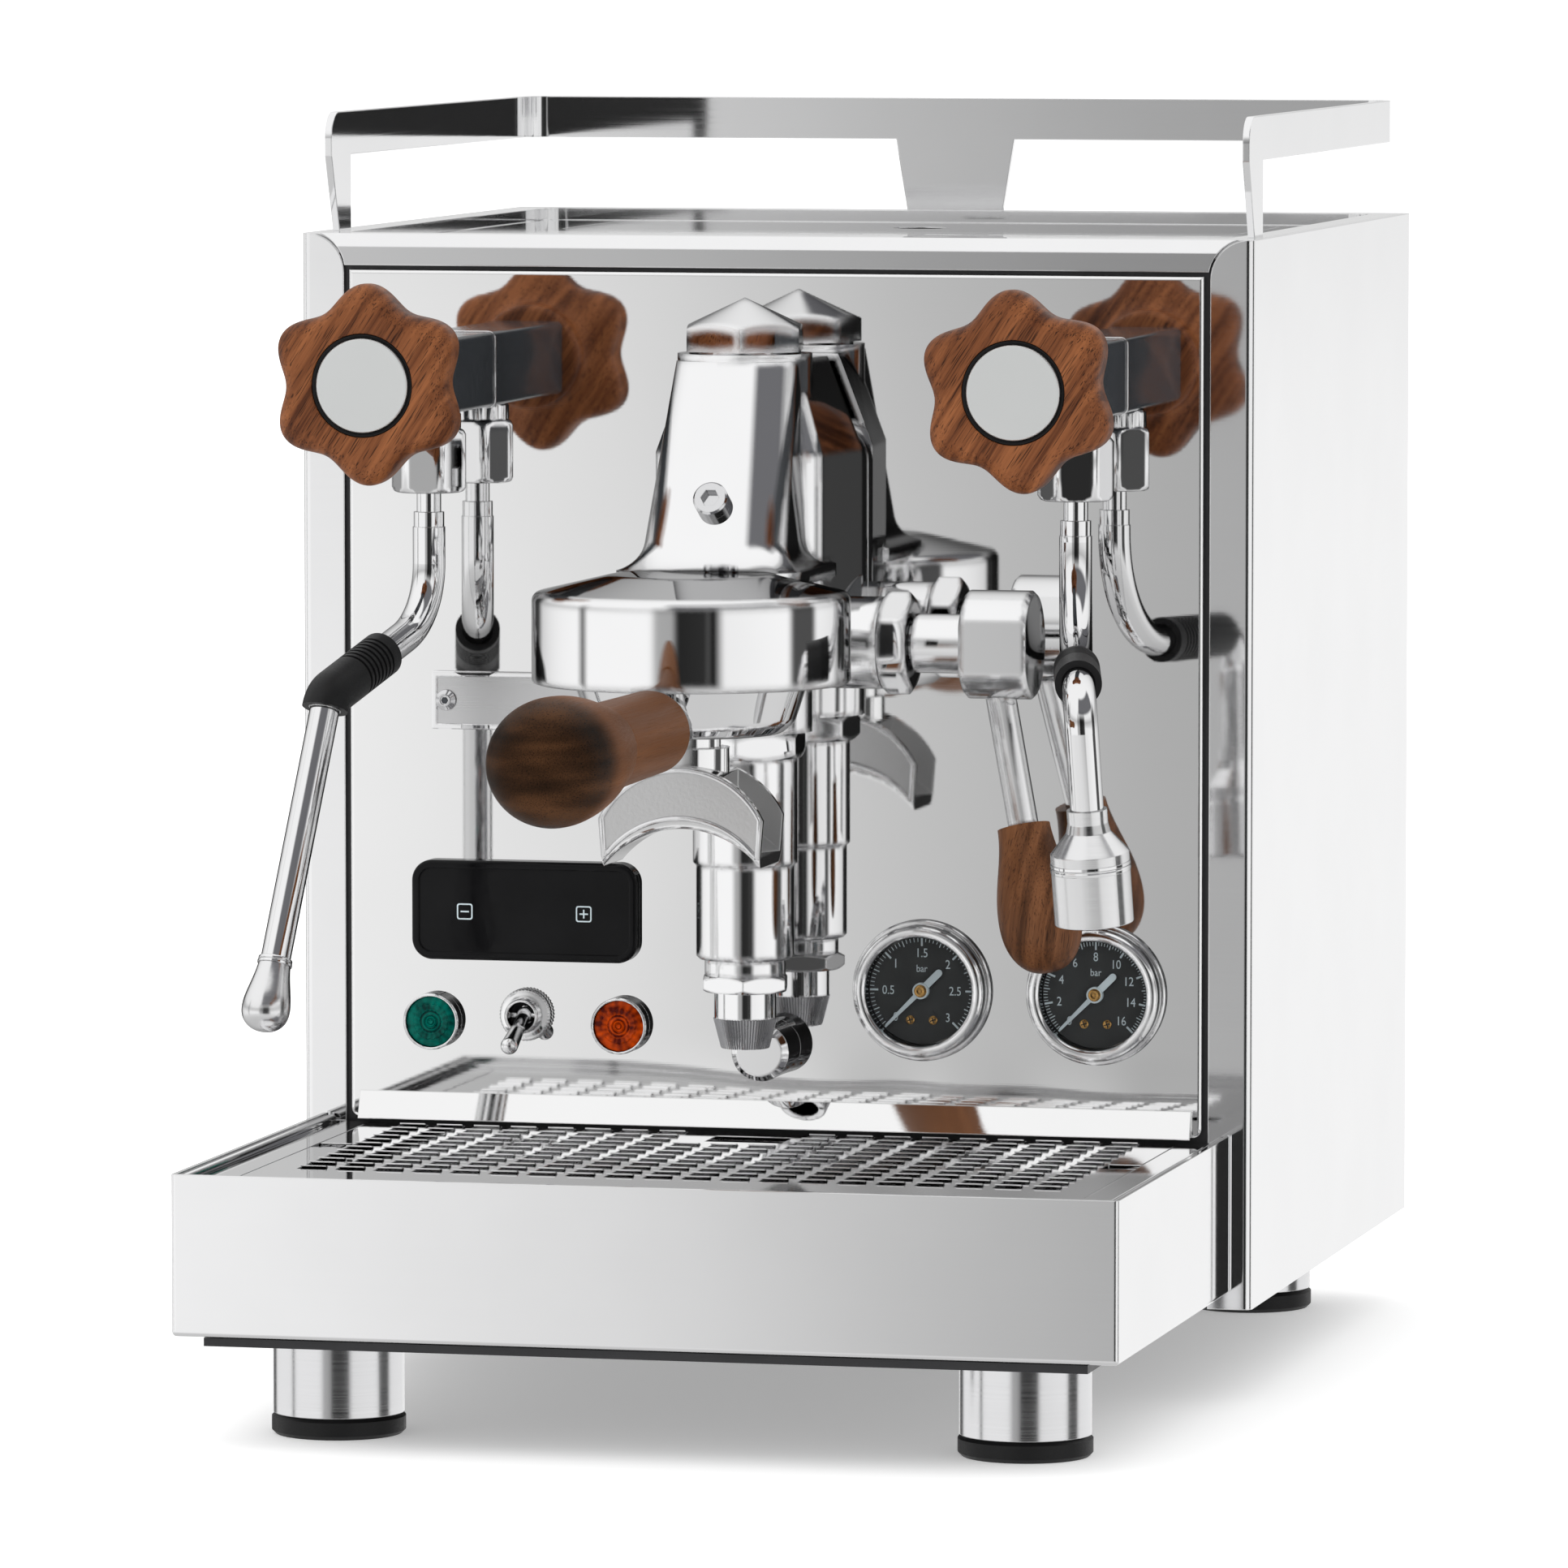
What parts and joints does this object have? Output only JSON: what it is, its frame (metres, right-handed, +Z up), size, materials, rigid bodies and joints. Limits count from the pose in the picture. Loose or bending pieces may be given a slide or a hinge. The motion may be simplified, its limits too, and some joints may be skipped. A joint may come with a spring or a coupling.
{
  "type": "espresso machine",
  "caption": "Counter espresso machine with a lever brew group, steam and water wands, pressure gauges, a cup rail on top and a sliding drip tray.",
  "frame": {"origin": "under the middle of the whole machine, handle included, on the plane that its feet stand on", "axes": "+Z up, the front with the brew group and the drip tray faces -Y, +X to the right seen from the front"},
  "size_m": [0.3, 0.5685, 0.393],
  "materials": {
    "steel_sheet": "satin, fine brushing",
    "mirror_panel": "mirror polished",
    "foot_steel": "turned and brushed",
    "black_frame": "semi-matt",
    "chrome": "mirror",
    "wand_steel": "polished",
    "basket_steel": "satin",
    "screw_steel": "polished",
    "valve_black": "high gloss",
    "knob_wood": "oiled, open grain",
    "handle_wood": "oiled",
    "grip_wood": "oiled",
    "rubber": "matt",
    "display_black": "gloss",
    "green_lens": "translucent",
    "orange_lens": "translucent",
    "dial_black": "matt",
    "needle_white": "painted",
    "gauge_glass": "clear",
    "boiler_copper": "bare copper tone",
    "element_steel": "bare",
    "pump_plastic": "moulded",
    "tank_plastic": "translucent"
  },
  "bodies": {
    "machine": {"housing_shell": "steel_sheet", "cup_tray": "steel_sheet", "cup_rail": "steel_sheet", "nameplate": "steel_sheet", "front_panel": "mirror_panel", "foot_sleeves": "foot_steel", "base_frame": "black_frame", "group_body": "chrome", "group_cap_nut": "chrome", "exhaust_valve_body": "chrome", "exhaust_nozzle": "chrome", "lever_gland_nut": "chrome", "joint_nuts": "chrome", "gauge_cases": "chrome", "lamp_bezels": "chrome", "toggle_collar": "chrome", "panel_stud": "chrome", "shower_screen": "basket_steel", "case_screws": "screw_steel", "group_screws": "screw_steel", "valve_bodies": "valve_black", "foot_pads": "rubber", "group_gasket": "rubber", "display_panel": "display_black", "green_lens": "green_lens", "orange_lens": "orange_lens", "gauge_dials": "dial_black", "gauge_glasses": "gauge_glass", "boiler": "boiler_copper", "heating_element": "element_steel", "vibration_pump": "pump_plastic", "control_box": "pump_plastic", "power_inlet": "pump_plastic"},
    "boiler_needle": {"boiler_needle": "needle_white"},
    "pump_needle": {"pump_needle": "needle_white"},
    "toggle": {"toggle_lever": "chrome"},
    "lever": {"lever_shaft": "chrome", "brew_lever": "chrome", "lever_grip": "grip_wood"},
    "portafilter": {"portafilter_body": "chrome", "portafilter_handle": "handle_wood", "filter_basket": "basket_steel", "double_spout": "chrome"},
    "steam_valve": {"steam_knob": "knob_wood", "steam_spindle": "chrome"},
    "water_valve": {"water_knob": "knob_wood", "water_spindle": "chrome"},
    "steam_joint": {"steam_ball": "wand_steel"},
    "steam_arm": {"steam_wand": "wand_steel", "steam_sleeve": "rubber", "steam_nozzle": "wand_steel"},
    "water_joint": {"water_ball": "wand_steel"},
    "water_arm": {"water_wand": "wand_steel", "water_sleeve": "rubber", "water_nozzle": "wand_steel"},
    "tray": {"drip_tray": "steel_sheet"},
    "grate": {"drip_grate": "steel_sheet"},
    "tank": {"water_tank": "tank_plastic"},
    "lid": {"tank_lid": "steel_sheet"}
  },
  "joints": [
    {"name": "boiler_needle_turn", "type": "hinge", "parent": "machine", "child": "boiler_needle", "pos_m": [0.0475, 0.00945, 0.1252], "axis": [0, 1, 0], "range_deg": [0, 270], "stiffness_Nm_per_rad": 0.0001, "springref_deg": -34.38},
    {"name": "pump_needle_turn", "type": "hinge", "parent": "machine", "child": "pump_needle", "pos_m": [0.102, 0.00945, 0.1252], "axis": [0, 1, 0], "range_deg": [0, 270], "stiffness_Nm_per_rad": 0.0001, "springref_deg": -34.38},
    {"name": "toggle_flip", "type": "hinge", "parent": "machine", "child": "toggle", "pos_m": [-0.078, 0.00645, 0.1148], "axis": [-1, 0, 0], "range_deg": [0, 44]},
    {"name": "lever_lift", "type": "hinge", "parent": "machine", "child": "lever", "pos_m": [0, -0.02625, 0.2345], "axis": [-1, 0, 0], "range_deg": [0, 80]},
    {"name": "portafilter_turn", "type": "hinge", "parent": "machine", "child": "portafilter", "pos_m": [0, -0.09525, 0.24], "axis": [0, 0, 1], "range_deg": [-45, 10]},
    {"name": "steam_valve_turn", "type": "hinge", "parent": "machine", "child": "steam_valve", "pos_m": [-0.0995, -0.04925, 0.3144], "axis": [0, -1, 0], "range_deg": [0, 270]},
    {"name": "water_valve_turn", "type": "hinge", "parent": "machine", "child": "water_valve", "pos_m": [0.0995, -0.04925, 0.3144], "axis": [0, -1, 0], "range_deg": [0, 270]},
    {"name": "steam_swivel", "type": "hinge", "parent": "machine", "child": "steam_joint", "pos_m": [-0.1012, -0.01965, 0.288], "axis": [0, 0, 1], "range_deg": [-60, 30]},
    {"name": "steam_tilt", "type": "hinge", "parent": "steam_joint", "child": "steam_arm", "pos_m": [-0.1012, -0.01965, 0.288], "axis": [-0.9659, 0.2588, 0], "range_deg": [-5, 15]},
    {"name": "water_swivel", "type": "hinge", "parent": "machine", "child": "water_joint", "pos_m": [0.1012, -0.01965, 0.288], "axis": [0, 0, 1], "range_deg": [-10, 60]},
    {"name": "water_tilt", "type": "hinge", "parent": "water_joint", "child": "water_arm", "pos_m": [0.1012, -0.01965, 0.288], "axis": [-0.9744, -0.225, 0], "range_deg": [-5, 15]},
    {"name": "tray_slide", "type": "slide", "parent": "machine", "child": "tray", "axis": [0, -1, 0], "range_m": [0, 0.165]},
    {"name": "grate_lift", "type": "slide", "parent": "tray", "child": "grate", "axis": [0, 0, 1], "range_m": [0, 0.012]},
    {"name": "tank_lift", "type": "slide", "parent": "machine", "child": "tank", "axis": [0, 0, 1], "range_m": [0, 0.21]},
    {"name": "lid_lift", "type": "slide", "parent": "tank", "child": "lid", "axis": [0, 0, 1], "range_m": [0, 0.03]}
  ]
}
